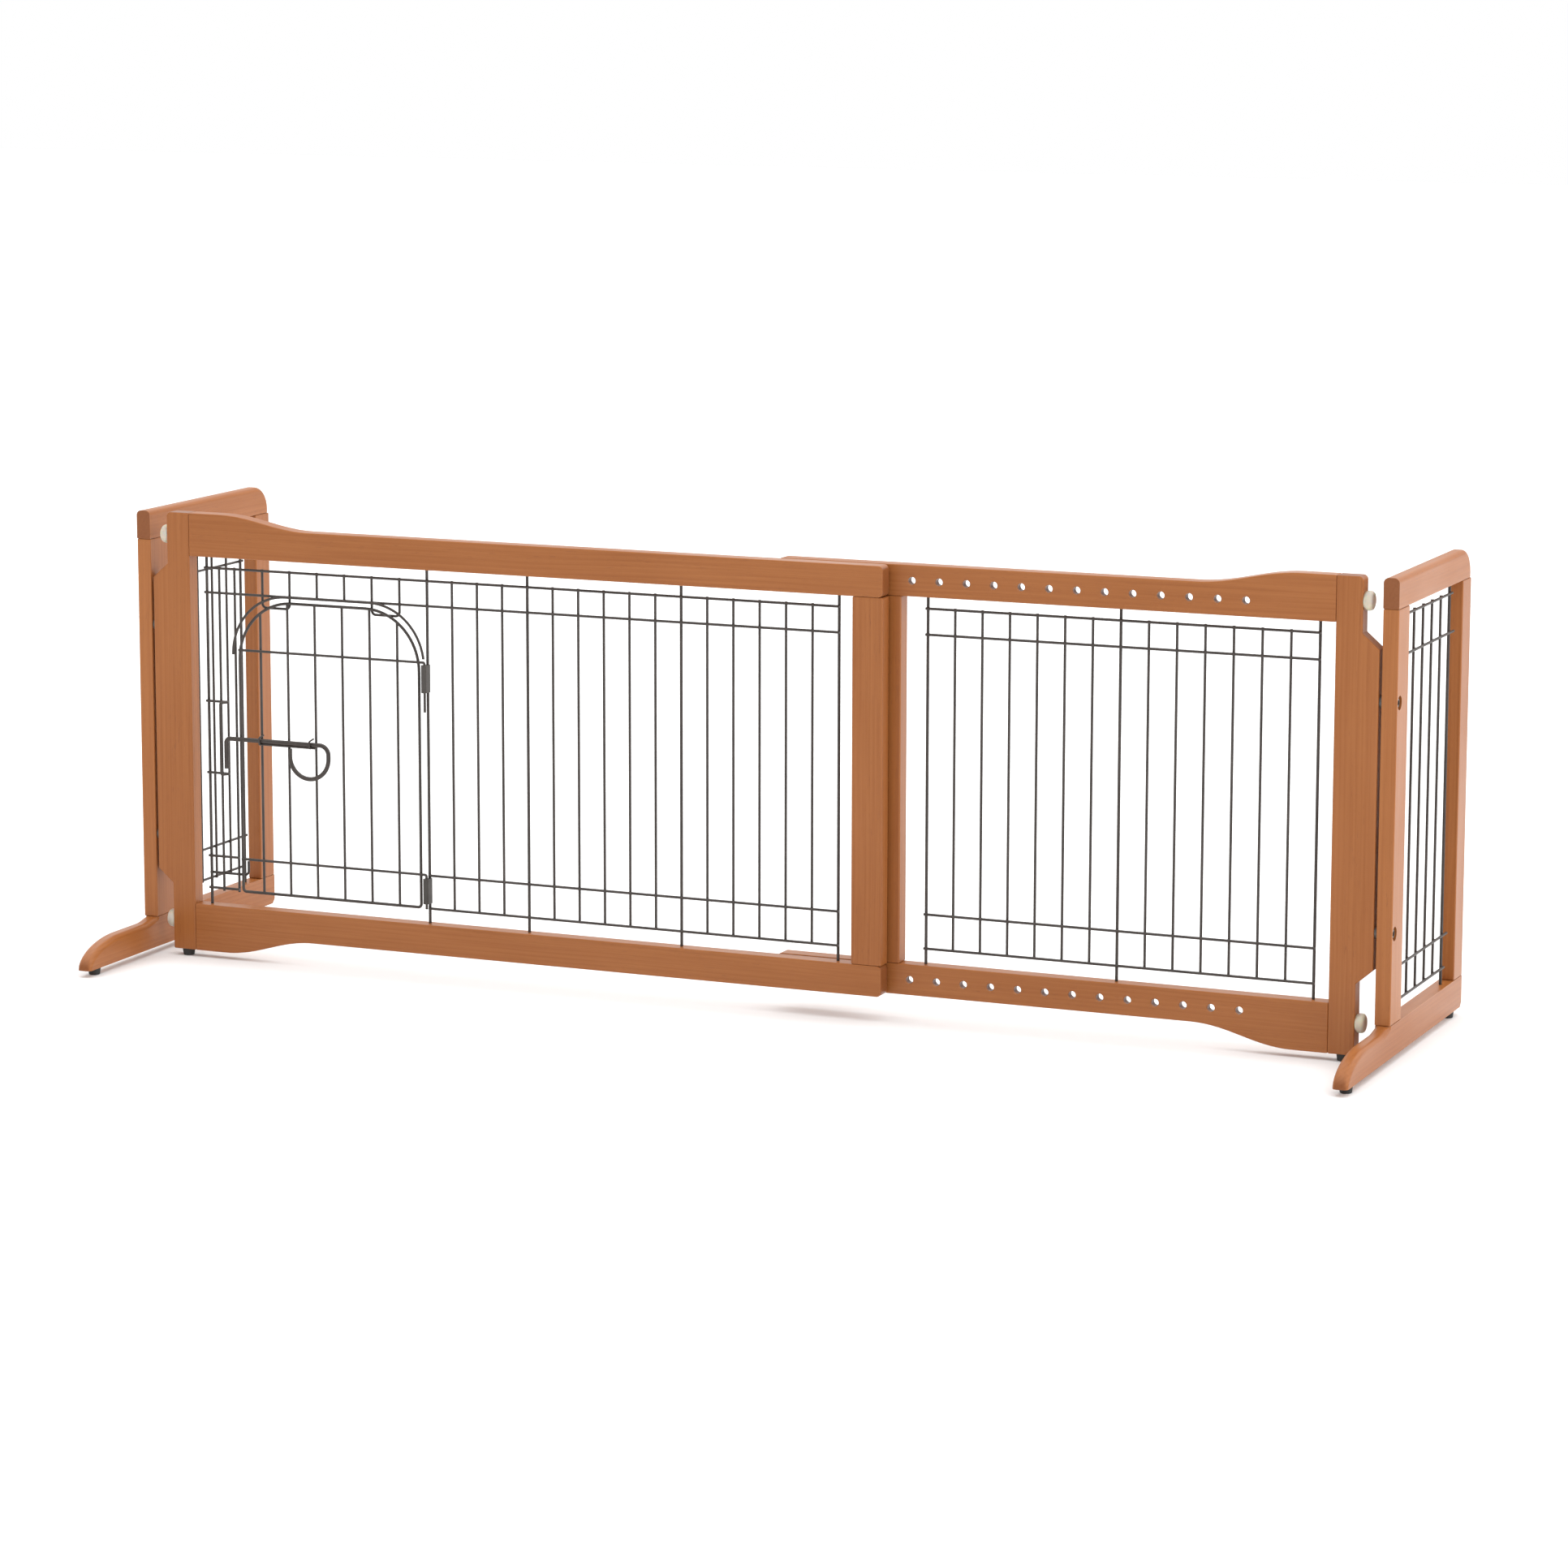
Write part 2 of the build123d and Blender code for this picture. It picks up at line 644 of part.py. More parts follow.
def screw_bore(side, front, z):
    """Clearance hole and round recess for one screw, through a wing's front post."""
    outer = GATE_LENGTH / 2
    y = front + BOLT_FROM_FACE
    hole = cylinder_x(outer - WING_T - 1, y, z, SCREW_D + SPACER_FIT, WING_T + 2)
    recess = cylinder_x(outer - RECESS_DEPTH, y, z, RECESS_D, RECESS_DEPTH + 1)
    return placed(hole + recess, side)


def wing_grille(side, front):
    x = wing_low_x(side) + WING_T / 2
    x_cross = x + side * (WIRE_D - WELD)
    first_y, last_y = (front + y for y in wing_rod_y())
    wires = []
    for i in range(WING_COUNT):
        y = first_y + WING_PITCH * i
        if i in (0, WING_COUNT - 1):
            low = WING_FOOT_TOP_Z - ROD_DEPTH + 0.5
            high = WING_SEAM_Z + ROD_DEPTH - 0.5
            wires.append(upright(x, y, low, high, ROD_D))
        else:
            low = WING_ROWS[0] - WIRE_D / 2
            high = WING_ROWS[3] + WIRE_D / 2
            wires.append(upright(x, y, low, high))
    for z in WING_ROWS:
        over = 10.0 if z in WING_ROWS[1:3] else WIRE_D * ROW_OVERRUN
        wires.append(rod((x_cross, first_y - over, z), (x_cross, last_y + over, z), WIRE_D))
    return fused(wires)


def wing_dowels(side, front):
    x = wing_low_x(side) + WING_T / 2
    pins = []
    for y in wing_dowel_y():
        for z in (WING_FOOT_TOP_Z, WING_SEAM_Z):
            pins.append(cylinder_z(x, front + y, z - DOWEL_REACH + 1, DOWEL_D, 2 * DOWEL_REACH - 2))
    return Compound(children=pins)


# ---- Fittings ----

def wing_screws(side, front):
    """Two socket-head screws per wing, heads sunk in the wing's outer face."""
    y = front + BOLT_FROM_FACE
    head_x = GATE_LENGTH / 2 - RECESS_DEPTH
    screws = []
    for z in BOLT_Z:
        head = cylinder_x(head_x, y, z, SCREW_HEAD_D, SCREW_HEAD_T)
        head = chamfer(head.edges().sort_by(Axis.X)[-1], SCREW_HEAD_CHAMFER)
        key = Plane(origin=(head_x + SCREW_HEAD_T, y, z), z_dir=(-1, 0, 0)) * RegularPolygon(
            SCREW_SOCKET / math.sqrt(3), 6
        )
        head -= extrude(key, amount=SCREW_HEAD_T / 2)
        shank = cylinder_x(head_x - SCREW_LENGTH, y, z, SCREW_D, SCREW_LENGTH)
        screws.append(placed(head + shank, side))
    return Compound(children=screws)


def wing_inserts(side, front):
    """Threaded sleeves in the outer post that take the screws."""
    wide = SEAM_X + OUTER_POST_W
    sleeves = []
    for z in BOLT_Z:
        middle = front + PANEL_T / 2
        sleeve = cylinder_x(wide - INSERT_LENGTH, middle, z, INSERT_D - PRESS_FIT, INSERT_LENGTH)
        start = wide - INSERT_LENGTH - 1
        bore = cylinder_x(start, front + BOLT_FROM_FACE, z, SCREW_D + SCREW_FIT, INSERT_LENGTH + 2)
        sleeves.append(placed(sleeve - bore, side))
    return Compound(children=sleeves)


def wing_spacers(side, front):
    """Washers that keep the wing off the outer post."""
    x = SEAM_X + OUTER_POST_W
    y = front + BOLT_FROM_FACE
    rings = []
    for z in BOLT_Z:
        ring = cylinder_x(x, y, z, SPACER_D, WING_GAP)
        ring -= cylinder_x(x - 1, y, z, SCREW_D + SPACER_FIT, WING_GAP + 2)
        rings.append(placed(ring, side))
    return Compound(children=rings)


def bumpers(side, front):
    """Soft round stops in the notches of the outer post."""
    x = SEAM_X + OUTER_POST_W - NOTCH_W
    middle = front + PANEL_T / 2
    stops = []
    for z in BUMPER_Z:
        body = cylinder_x(x, middle, z, BUMPER_D, BUMPER_OUT)
        body = fillet(body.edges().sort_by(Axis.X)[-1], BUMPER_RIM_R)
        body = fillet(body.edges().sort_by(Axis.X)[0], BUMPER_ROOT_R)
        stem = cylinder_x(x - STEM_IN, middle, z, STEM_D - PRESS_FIT, STEM_IN + 1)
        stops.append(placed(body + stem, side))
    return Compound(children=stops)


def pad(x, y):
    """Rubber foot with its stem pressed into the wood above."""
    slope = -math.degrees(PAD_TAPER / FOOT_H)
    body = extrude(Plane.XY * Circle(PAD_D / 2 - PAD_TAPER), amount=FOOT_H, taper=slope)
    body = fillet(body.edges().sort_by(Axis.Z)[0], PAD_TAPER)
    return Pos(x, y, 0) * (body + cylinder_z(0, 0, FOOT_H - 1, STEM_D - PRESS_FIT, STEM_IN + 1))


def pads(side, front):
    x = side * (SEAM_X + POST_PAD_FROM_SEAM)
    wing_x = wing_low_x(side) + WING_T / 2
    feet = [pad(x, front + PANEL_T / 2)]
    for y in WING_PAD_Y:
        feet.append(pad(wing_x, front + y))
    return Compound(children=feet)


def peg(x, z):
    """Peg drawn back until its tip is clear of the left panel."""
    tip = RIGHT_FRONT + PEG_TIP_BACK
    back = RIGHT_FRONT + PANEL_T - COUNTERBORE_DEPTH + PEG_SEAT_GAP + PEG_TRAVEL
    shank = cylinder_y(x, tip, z, PEG_D, back - tip + 1)
    shank = chamfer(shank.edges().sort_by(Axis.Y)[0], PEG_TIP_BACK)
    head = cylinder_y(x, back, z, PEG_HEAD_D, PEG_HEAD_T)
    head = fillet(head.edges(), PEG_HEAD_R)
    return shank + head


# ---- Pet door ----

def door_upright_x():
    middle = (DOOR_LEFT + DOOR_RIGHT) / 2
    first = middle - DOOR_PITCH * (DOOR_UPRIGHTS - 1) / 2
    return [first + DOOR_PITCH * i for i in range(DOOR_UPRIGHTS)]


def door_frame():
    """Arched wire hoop of the pet door."""
    y = LEFT_FRONT + DOOR_BACK
    points = [
        (DOOR_LEFT, y, DOOR_BOTTOM),
        (DOOR_LEFT, y, DOOR_TOP),
        (DOOR_RIGHT, y, DOOR_TOP),
        (DOOR_RIGHT, y, DOOR_BOTTOM),
    ]
    radii = [DOOR_CORNER_R, DOOR_ARCH_R, DOOR_ARCH_R, DOOR_CORNER_R]
    return bent_rod(FilletPolyline(*points, radius=radii, close=True), ROD_D)


def door_uprights(frame):
    """Upright wires butted against the hoop."""
    y = LEFT_FRONT + DOOR_BACK
    spring = DOOR_TOP - DOOR_ARCH_R
    wires = []
    for x in door_upright_x():
        from_side = min(x - DOOR_LEFT, DOOR_RIGHT - x)
        inward = max(DOOR_ARCH_R - from_side, 0.0)
        top = spring + math.sqrt(DOOR_ARCH_R ** 2 - inward ** 2)
        wire = upright(x, y, DOOR_BOTTOM, top) - frame
        wires += wire.solids().sort_by(SortBy.VOLUME)[-1:]
    return Compound(children=wires)


def door_crossbars():
    """Two level bars whose right ends turn down as the hinge pins."""
    y = HINGE_Y
    bars = []
    for z, pin_end in zip(DOOR_ROWS, PIN_END_Z):
        path = FilletPolyline(
            (DOOR_LEFT, y, z),
            (HINGE_X, y, z),
            (HINGE_X, y, pin_end),
            radius=PIN_BEND_R,
        )
        bars.append(bent_rod(path, WIRE_D))
    return Compound(children=bars)


def hinge_sleeve(low, high):
    """Strip folded round the grille's rod and the door's hinge pin."""
    rod_point = Vector(LEFT_ROD_X[1], LEFT_FRONT + GRILLE_BACK)
    pin_point = Vector(HINGE_X, HINGE_Y)
    run = rod_point - pin_point
    outer = ROD_D / 2 + SLEEVE_T
    angle = math.degrees(math.atan2(run.Y, run.X))
    middle = (rod_point + pin_point) / 2
    strip = Pos(middle.X, middle.Y) * Rot(0, 0, angle) * SlotCenterToCenter(run.length, 2 * outer)
    body = extrude(Plane.XY.offset(low) * strip, amount=high - low)
    body += cylinder_z(pin_point.X - SLEEVE_TUBE_SHIFT, pin_point.Y, low, SLEEVE_TUBE_D, high - low)
    body -= cylinder_z(pin_point.X, pin_point.Y, low - 1, WIRE_D + 2 * PIN_FIT, high - low + 2)
    body -= cylinder_z(rod_point.X, rod_point.Y, low - 1, ROD_D, high - low + 2)
    return body


# ---- Latch ----

def latch_bolt():
    """Sliding rod with a down-turned tip and a pull ring, bent from one wire."""
    y = LEFT_FRONT + BOLT_BACK
    right = RING_X + RING_R
    left = RING_X - RING_R
    turn = RING_BEND_R
    turn_z = BOLT_AXIS_Z - turn
    bend_x = right - turn
    corner = math.sin(math.pi / 4) * turn
    rod_run = FilletPolyline(
        (BOLT_TIP_X, y, BOLT_AXIS_Z - TIP_DROP),
        (BOLT_TIP_X, y, BOLT_AXIS_Z),
        (bend_x, y, BOLT_AXIS_Z),
        radius=TIP_BEND_R,
    )
    ring = [
        ThreePointArc(
            (bend_x, y, BOLT_AXIS_Z),
            (bend_x + corner, y, turn_z + corner),
            (right, y, turn_z),
        ),
        Line((right, y, turn_z), (right, y, RING_CENTRE_Z)),
        ThreePointArc(
            (right, y, RING_CENTRE_Z),
            (RING_X, y, RING_CENTRE_Z - RING_R),
            (left, y, RING_CENTRE_Z),
        ),
        Line((left, y, RING_CENTRE_Z), (left, y, RING_END_Z)),
    ]
    path = Wire(rod_run.edges() + [edge for part in ring for edge in part.edges()])
    section = Plane(origin=(BOLT_TIP_X, y, BOLT_AXIS_Z - TIP_DROP), z_dir=(0, 0, 1))
    return sweep(section * Circle(BOLT_D / 2), path=path)


def latch_guide():
    """Wire under the bolt whose two hooks pass round the front of the bolt."""
    y = LEFT_FRONT + DOOR_CROSS_BACK
    axis_y = LEFT_FRONT + BOLT_BACK
    reach = BOLT_D / 2 + HOOK_D / 2 + HOOK_CLEARANCE
    start = (GUIDE_X[0] - GUIDE_PAST_HOOKS[0], y, GUIDE_Z)
    end = (GUIDE_X[1] + GUIDE_PAST_HOOKS[1], y, GUIDE_Z)
    wires = [rod(start, end, WIRE_D)]
    low = BOLT_AXIS_Z - reach
    for x in GUIDE_X:
        path = FilletPolyline(
            (x, y + WELD, low),
            (x, axis_y - reach, low),
            (x, axis_y - reach, BOLT_AXIS_Z + reach),
            (x + HOOK_LEAN, axis_y + HOOK_D, BOLT_AXIS_Z + reach + HOOK_LEAN),
            radius=HOOK_BEND_R,
        )
        wires.append(bent_rod(path, HOOK_D))
    return fused(wires)


def latch_keeper():
    """Staple on the left rod and strip wire that the bolt slides behind."""
    front = (KEEPER_X, LEFT_FRONT + KEEPER_BACK)
    arm = (KEEPER_ARM_X, LEFT_FRONT + KEEPER_ARM_BACK)
    start_x = LEFT_ROD_X[0] - WIRE_D * ROW_OVERRUN
    low, high = KEEPER_Z
    path = FilletPolyline(
        (start_x, arm[1], high),
        (*arm, high),
        (*front, high),
        (*front, low),
        (*arm, low),
        (start_x, arm[1], low),
        radius=KEEPER_BEND_R,
    )
    return bent_rod(path, WIRE_D)


# ---- Assembly ----

LEFT_INNER_DOWELS = (LEFT_RAIL_END - 26, LEFT_RAIL_END - 9)
RIGHT_INNER_EDGE = 188.0
RIGHT_INNER_DOWELS = (159.0, 180.0)


def build_panels():
    row = hole_row(FIRST_HOLE_X)
    sockets = hole_row(LAST_SOCKET_X - HOLE_PITCH * (HOLE_COUNT - 1))
    left_rods = LEFT_ROD_X + tuple(LEFT_ROD_X[1] + LEFT_PITCH * i for i in LEFT_LONG_WIRES)
    right_rods = [RIGHT_FIRST_X + RIGHT_PITCH * i for i in RIGHT_LONG_WIRES]
    mirrored_rods = [-x for x in left_rods]
    mirrored_dowels = [-x for x in LEFT_INNER_DOWELS]
    for level, z in (("top", TOP_HOLE_Z), ("bottom", BOTTOM_HOLE_Z)):
        left = rail(-1, LEFT_FRONT, level, -LEFT_RAIL_END, LEFT_END_R, mirrored_dowels, mirrored_rods)
        left = drilled(left, sockets, z, LEFT_FRONT + PANEL_T - SOCKET_DEPTH, SOCKET_DEPTH + 1)
        save(left, f"left_{level}_rail")
        right = rail(1, RIGHT_FRONT, level, RIGHT_RAIL_END, RIGHT_END_R, RIGHT_INNER_DOWELS, right_rods)
        right = peg_holes(right, row, z)
        save(right, f"right_{level}_rail")
    save(inner_post(LEFT_RAIL_END, LEFT_FRONT, LEFT_INNER_DOWELS), "left_inner_post")
    save(inner_post(RIGHT_INNER_EDGE, RIGHT_FRONT, RIGHT_INNER_DOWELS), "right_inner_post")
    save(panel_dowels(-1, LEFT_FRONT, LEFT_INNER_DOWELS), "left_panel_dowels")
    save(panel_dowels(1, RIGHT_FRONT, RIGHT_INNER_DOWELS), "right_panel_dowels")
    save(left_grille(), "left_panel_grille")
    save(left_top_rows(), "left_panel_top_rows")
    save(doorway_side_grille(), "doorway_side_grille")
    save(doorway_arch(), "doorway_arch")
    save(right_grille(), "right_panel_grille")


def build_side(name, side, front):
    """Outer post, wing and fittings of one end."""
    back_post_y = WING_DEPTH - BACK_POST_D
    save(outer_post(side, front), f"{name}_outer_post")
    save(wing_top_rail(side, front), f"{name}_wing_top_rail")
    save(wing_foot_rail(side, front), f"{name}_wing_foot_rail")
    save(wing_post(side, front, 0, FRONT_POST_D), f"{name}_wing_front_post")
    save(wing_post(side, front, back_post_y, BACK_POST_D), f"{name}_wing_back_post")
    save(wing_grille(side, front), f"{name}_wing_grille")
    save(wing_dowels(side, front), f"{name}_wing_dowels")
    save(wing_screws(side, front), f"{name}_wing_screws")
    save(wing_inserts(side, front), f"{name}_wing_inserts")
    save(wing_spacers(side, front), f"{name}_wing_spacers")
    save(bumpers(side, front), f"{name}_bumpers")
    save(pads(side, front), f"{name}_rubber_feet")


def build_door():
    frame = door_frame()
    save(frame, "pet_door_frame")
    save(door_uprights(frame), "pet_door_uprights")
    save(door_crossbars(), "pet_door_crossbars")
    save(latch_guide(), "latch_guide")
    save(latch_bolt(), "latch_bolt")
    save(latch_keeper(), "latch_keeper")
    for name, span in zip(("lower", "upper"), SLEEVE_SPANS):
        save(hinge_sleeve(*span), f"{name}_hinge_sleeve")


def build_pegs():
    for level, z in (("top", TOP_HOLE_Z), ("bottom", BOTTOM_HOLE_Z)):
        for number, hole in enumerate(PEG_HOLES, start=1):
            save(peg(FIRST_HOLE_X + HOLE_PITCH * hole, z), f"{level}_peg_{number}")


os.makedirs("parts", exist_ok=True)
build_panels()
build_side("left", -1, LEFT_FRONT)
build_side("right", 1, RIGHT_FRONT)
build_door()
build_pegs()
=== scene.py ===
import math

import bpy
from mathutils import Matrix, Vector


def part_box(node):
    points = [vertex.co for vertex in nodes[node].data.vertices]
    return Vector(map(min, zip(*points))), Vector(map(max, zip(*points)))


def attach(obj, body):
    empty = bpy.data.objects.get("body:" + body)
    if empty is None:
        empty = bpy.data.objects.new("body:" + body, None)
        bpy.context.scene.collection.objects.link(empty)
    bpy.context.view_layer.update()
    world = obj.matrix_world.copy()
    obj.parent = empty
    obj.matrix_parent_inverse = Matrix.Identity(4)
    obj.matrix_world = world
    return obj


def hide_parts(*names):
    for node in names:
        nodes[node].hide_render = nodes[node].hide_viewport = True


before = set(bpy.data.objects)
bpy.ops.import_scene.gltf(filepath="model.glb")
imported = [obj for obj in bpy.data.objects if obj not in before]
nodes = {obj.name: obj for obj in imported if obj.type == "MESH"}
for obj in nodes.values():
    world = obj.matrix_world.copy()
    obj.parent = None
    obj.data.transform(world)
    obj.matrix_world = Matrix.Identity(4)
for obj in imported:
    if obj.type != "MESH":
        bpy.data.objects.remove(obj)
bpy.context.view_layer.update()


# ---- Small helpers for shader trees ----

def add(tree, kind, inputs=None, **settings):
    """Add a node, set it up and wire or fill its inputs."""
    made = tree.nodes.new(kind)
    for name, value in settings.items():
        setattr(made, name, value)
    for name, value in (inputs or {}).items():
        if isinstance(value, bpy.types.NodeSocket):
            tree.links.new(value, made.inputs[name])
        else:
            made.inputs[name].default_value = value
    return made


def new_group(name, inputs, outputs):
    """Start a shader group; inputs are (name, type, value) and outputs (name, type)."""
    tree = bpy.data.node_groups.new(name, "ShaderNodeTree")
    for label, kind, value in inputs:
        socket = tree.interface.new_socket(label, in_out="INPUT", socket_type=kind)
        if value is not None:
            socket.default_value = value
    for label, kind in outputs:
        tree.interface.new_socket(label, in_out="OUTPUT", socket_type=kind)
    source = tree.nodes.new("NodeGroupInput").outputs
    sink = tree.nodes.new("NodeGroupOutput").inputs
    return tree, source, sink


def place_group(tree, group, inputs):
    made = tree.nodes.new("ShaderNodeGroup")
    made.node_tree = group
    for name, value in inputs.items():
        if isinstance(value, bpy.types.NodeSocket):
            tree.links.new(value, made.inputs[name])
        else:
            made.inputs[name].default_value = value
    return made.outputs


def ramp(tree, value, low, high, to_low=0.0, to_high=1.0):
    """Map value from low..high to to_low..to_high, smoothly and clamped."""
    made = add(tree, "ShaderNodeMapRange", {"Value": value}, interpolation_type="SMOOTHSTEP")
    made.inputs["From Min"].default_value = low
    made.inputs["From Max"].default_value = high
    made.inputs["To Min"].default_value = to_low
    made.inputs["To Max"].default_value = to_high
    return made.outputs["Result"]


def maths(tree, operation, a, b=0.0, clamp=False):
    made = tree.nodes.new("ShaderNodeMath")
    made.operation = operation
    made.use_clamp = clamp
    for socket, value in zip(made.inputs, (a, b)):
        if isinstance(value, bpy.types.NodeSocket):
            tree.links.new(value, socket)
        else:
            socket.default_value = value
    return made.outputs[0]


def blend_colours(tree, factor, a, b, blend_type="MIX"):
    made = tree.nodes.new("ShaderNodeMix")
    made.data_type = "RGBA"
    made.blend_type = blend_type
    for socket, value in ((made.inputs[0], factor), (made.inputs[6], a), (made.inputs[7], b)):
        if isinstance(value, bpy.types.NodeSocket):
            tree.links.new(value, socket)
        else:
            socket.default_value = value
    return made.outputs[2]


def stretched(tree, vector, scale):
    """Vector with each axis scaled on its own."""
    made = add(tree, "ShaderNodeVectorMath", {0: vector, 1: scale}, operation="MULTIPLY")
    return made.outputs[0]


def noise_of(tree, vector, scale, detail=2.0, roughness=0.5, distortion=0.0):
    return add(tree, "ShaderNodeTexNoise", {
        "Vector": vector, "Scale": scale, "Detail": detail,
        "Roughness": roughness, "Distortion": distortion,
    }).outputs["Fac"]


# ---- Shared shader groups ----

def timber_grain_group():
    """Growth rings, lengthwise streaks and pores of a board whose grain runs along the vector's Z."""
    tree, source, sink = new_group(
        "Timber grain",
        [
            ("Vector", "NodeSocketVector", None),
            ("Pith", "NodeSocketVector", (0.03, -0.05, 0.0)),
            ("Ring spacing", "NodeSocketFloat", 0.004),
            ("Figure", "NodeSocketFloat", 0.012),
        ],
        [("Rings", "NodeSocketFloat"), ("Streaks", "NodeSocketFloat"),
         ("Pores", "NodeSocketFloat"), ("Mottle", "NodeSocketFloat"), ("Height", "NodeSocketFloat")],
    )
    vector = source["Vector"]
    # Wander of the trunk: slow bends of the rings along the board.
    slow = add(tree, "ShaderNodeTexNoise", {
        "Vector": stretched(tree, vector, (6.0, 6.0, 1.9)), "Scale": 1.0, "Detail": 2.0,
    }).outputs["Color"]
    centred = add(tree, "ShaderNodeVectorMath", {
        0: slow, 1: (0.5, 0.5, 0.5),
    }, operation="SUBTRACT").outputs[0]
    bend = add(tree, "ShaderNodeVectorMath", {0: centred, "Scale": source["Figure"]}, operation="SCALE")
    moved = add(tree, "ShaderNodeVectorMath", {
        0: vector, 1: bend.outputs[0],
    }, operation="ADD").outputs[0]
    from_pith = add(tree, "ShaderNodeVectorMath", {
        0: moved, 1: source["Pith"],
    }, operation="SUBTRACT").outputs[0]
    flat = stretched(tree, from_pith, (1.0, 1.0, 0.035))
    radius = add(tree, "ShaderNodeVectorMath", {0: flat}, operation="LENGTH").outputs["Value"]
    count = maths(tree, "DIVIDE", radius, source["Ring spacing"])
    uneven = noise_of(tree, stretched(tree, from_pith, (40.0, 40.0, 1.4)), 1.0, 2.0)
    count = maths(tree, "ADD", count, maths(tree, "MULTIPLY", uneven, 1.6))
    phase = maths(tree, "FRACT", count)
    # Early wood fades slowly into late wood, which ends sharply at the next ring.
    rise = ramp(tree, phase, 0.25, 0.92)
    fall = ramp(tree, phase, 0.93, 1.0, 1.0, 0.0)
    rings = maths(tree, "MULTIPLY", rise, fall)
    # Fibre streaks.
    fibre = noise_of(tree, stretched(tree, moved, (420.0, 420.0, 5.0)), 1.0, 4.0, 0.6)
    streaks = ramp(tree, fibre, 0.32, 0.70)
    # Pores: short dark dashes along the grain.
    dashes = noise_of(tree, stretched(tree, moved, (1500.0, 1500.0, 75.0)), 1.0, 1.0)
    pores = ramp(tree, dashes, 0.665, 0.74)
    band = noise_of(tree, stretched(tree, moved, (55.0, 55.0, 3.0)), 1.0, 2.0)
    pores = maths(tree, "MULTIPLY", pores, ramp(tree, band, 0.35, 0.62, 0.25, 1.0))
    mottle = noise_of(tree, stretched(tree, moved, (16.0, 16.0, 4.0)), 1.0, 3.0)
    height = maths(tree, "SUBTRACT", maths(tree, "MULTIPLY", streaks, 0.35), pores)
    for name, value in (("Rings", rings), ("Streaks", streaks), ("Pores", pores),
                        ("Mottle", mottle), ("Height", height)):
        tree.links.new(value, sink[name])
    return tree


def softened_edge_group():
    """Mask of rounded arrises, broken up by noise: where stain and coat lie thin, and on the boards
    also a painted highlight along the edges.
    """
    tree, source, sink = new_group(
        "Softened edge",
        [("Vector", "NodeSocketVector", None), ("Reach", "NodeSocketFloat", 0.002),
         ("Break up", "NodeSocketFloat", 60.0)],
        [("Mask", "NodeSocketFloat")],
    )
    rounded = add(tree, "ShaderNodeBevel", {"Radius": source["Reach"]}, samples=4).outputs[0]
    true_normal = add(tree, "ShaderNodeNewGeometry").outputs["True Normal"]
    dot = add(tree, "ShaderNodeVectorMath", {
        0: rounded, 1: true_normal,
    }, operation="DOT_PRODUCT").outputs["Value"]
    edge = ramp(tree, dot, 0.995, 0.88, 0.0, 1.0)
    broken = noise_of(tree, source["Vector"], source["Break up"], 3.0)
    mask = maths(tree, "MULTIPLY", edge, ramp(tree, broken, 0.3, 0.65, 0.35, 1.0))
    tree.links.new(mask, sink["Mask"])
    return tree


def powder_coat_group():
    """Orange-peel skin and slight tone changes of a sprayed and baked coat."""
    tree, source, sink = new_group(
        "Powder coat",
        [("Vector", "NodeSocketVector", None), ("Peel size", "NodeSocketFloat", 900.0)],
        [("Tone", "NodeSocketFloat"), ("Gloss change", "NodeSocketFloat"),
         ("Height", "NodeSocketFloat")],
    )
    vector = source["Vector"]
    peel = noise_of(tree, vector, source["Peel size"], 1.0)
    tone = noise_of(tree, vector, 45.0, 3.0)
    specks = noise_of(tree, vector, 2600.0, 0.0)
    tree.links.new(ramp(tree, tone, 0.3, 0.7), sink["Tone"])
    tree.links.new(ramp(tree, specks, 0.55, 0.75), sink["Gloss change"])
    tree.links.new(peel, sink["Height"])
    return tree


timber_grain = timber_grain_group()
softened_edge = softened_edge_group()
powder_coat = powder_coat_group()


# ---- Materials ----

def new_material(name):
    material = bpy.data.materials.new(name)
    material.use_nodes = True
    tree = material.node_tree
    tree.nodes.clear()
    shader = tree.nodes.new("ShaderNodeBsdfPrincipled")
    output = tree.nodes.new("ShaderNodeOutputMaterial")
    tree.links.new(shader.outputs[0], output.inputs["Surface"])
    return material, tree, shader


def set_shader(shader, **values):
    for name, value in values.items():
        shader.inputs[name.replace("_", " ")].default_value = value


def bump(tree, shader, height, strength, distance):
    made = add(tree, "ShaderNodeBump", {"Height": height, "Strength": strength, "Distance": distance})
    tree.links.new(made.outputs[0], shader.inputs["Normal"])


HONEY = (0.400, 0.145, 0.041, 1.0)
AMBER = (0.262, 0.078, 0.016, 1.0)
END_GRAIN = (0.165, 0.050, 0.018, 1.0)
# Paler colour for the boards' arrises: partly thin stain, partly a painted highlight.
PALE_ARRIS_AND_HIGHLIGHT = (0.520, 0.270, 0.130, 1.0)
PORE = (0.150, 0.050, 0.020, 1.0)

# How the axes are swapped so that a board's grain runs along the texture's Z.
ALONG = {"X": ("Y", "Z", "X"), "Y": ("Z", "X", "Y"), "Z": ("X", "Y", "Z")}


def grain_space(tree, vector, along, shift):
    parts = add(tree, "ShaderNodeSeparateXYZ", {0: vector}).outputs
    swapped = add(tree, "ShaderNodeCombineXYZ", {
        socket: parts[axis] for socket, axis in zip(("X", "Y", "Z"), ALONG[along])
    }).outputs[0]
    return add(tree, "ShaderNodeVectorMath", {0: swapped, 1: shift}, operation="ADD").outputs[0], parts


